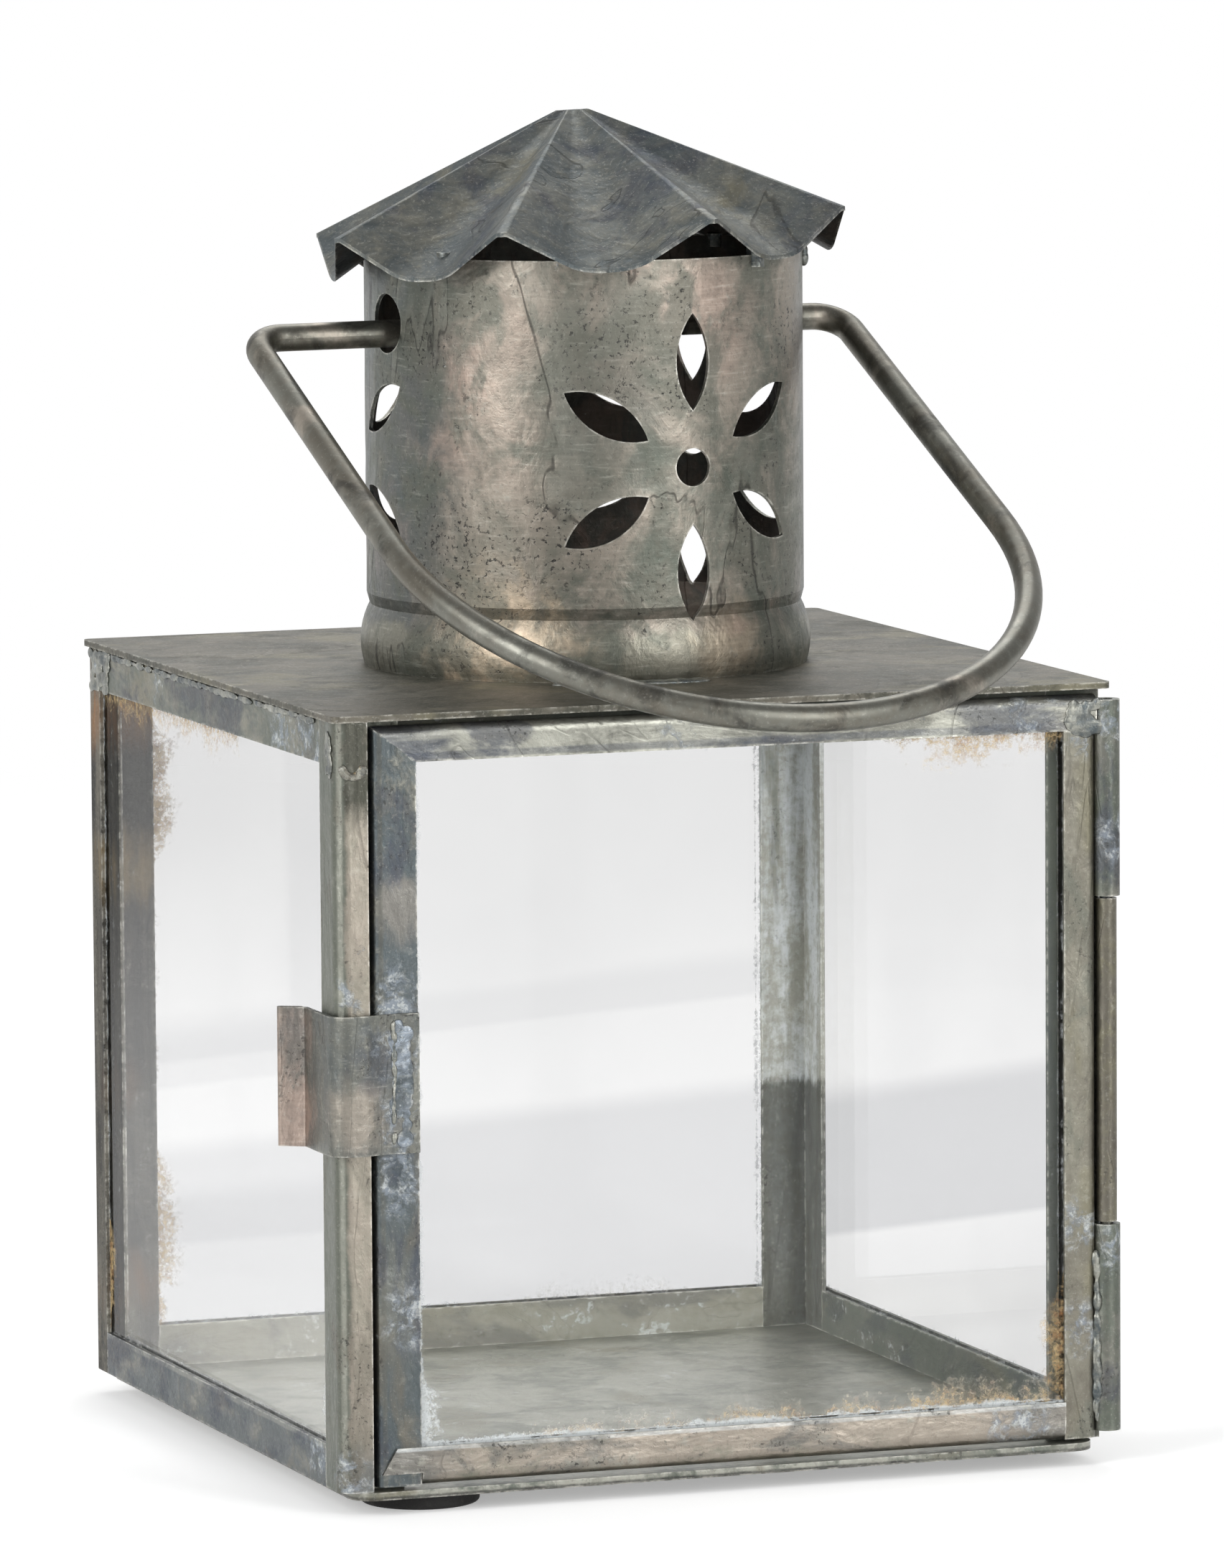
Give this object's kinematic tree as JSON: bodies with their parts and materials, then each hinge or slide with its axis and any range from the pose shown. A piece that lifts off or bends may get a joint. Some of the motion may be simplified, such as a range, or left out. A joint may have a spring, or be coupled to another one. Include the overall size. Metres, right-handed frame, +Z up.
{
  "type": "candle lantern",
  "caption": "Small square tin candle lantern with glass sides, a hinged door with a latch clip, a chimney punched with flowers, a pleated cap and a wire bail.",
  "frame": {"origin": "on the surface that the lantern stands on, under the middle of the square case", "axes": "+Z up, -Y out through the door, +X towards the hinge side"},
  "size_m": [0.1057, 0.1324, 0.1665],
  "materials": {
    "tin": "aged, mottled",
    "wire": "worn satin",
    "solder": "dull",
    "glass": "clear",
    "rubber": "matte"
  },
  "bodies": {
    "case": {"base_plate": "tin", "post_front_left": "tin", "post_front_right": "tin", "post_back_left": "tin", "post_back_right": "tin", "bottom_rail_left": "tin", "bottom_rail_right": "tin", "bottom_rail_back": "tin", "top_rail_left": "tin", "top_rail_right": "tin", "top_rail_back": "tin", "top_plate": "tin", "door_stop": "tin", "chimney": "tin", "cap": "tin", "hinge_knuckle": "tin", "pad_front_left": "rubber", "pad_front_right": "rubber", "pad_back_left": "rubber", "pad_back_right": "rubber", "pane_left": "glass", "pane_right": "glass", "pane_back": "glass", "cap_solder": "solder", "hinge_solder": "solder", "hinge_pin": "wire"},
    "door": {"door_stile_left": "tin", "door_stile_right": "tin", "door_rail_top": "tin", "door_rail_bottom": "tin", "hinge_sleeve_upper": "tin", "hinge_sleeve_lower": "tin", "latch_clip": "tin", "door_pane": "glass"},
    "bail": {"bail": "wire"}
  },
  "joints": [
    {"name": "door_hinge", "type": "hinge", "parent": "case", "child": "door", "pos_m": [0.0502, -0.049, 0.05], "axis": [0, 0, 1], "range_deg": [0, 180]},
    {"name": "bail_swing", "type": "hinge", "parent": "case", "child": "bail", "pos_m": [0, 0, 0.1394], "axis": [-0.9962, -0.0872, 0], "range_deg": [-9.2, 243]}
  ]
}
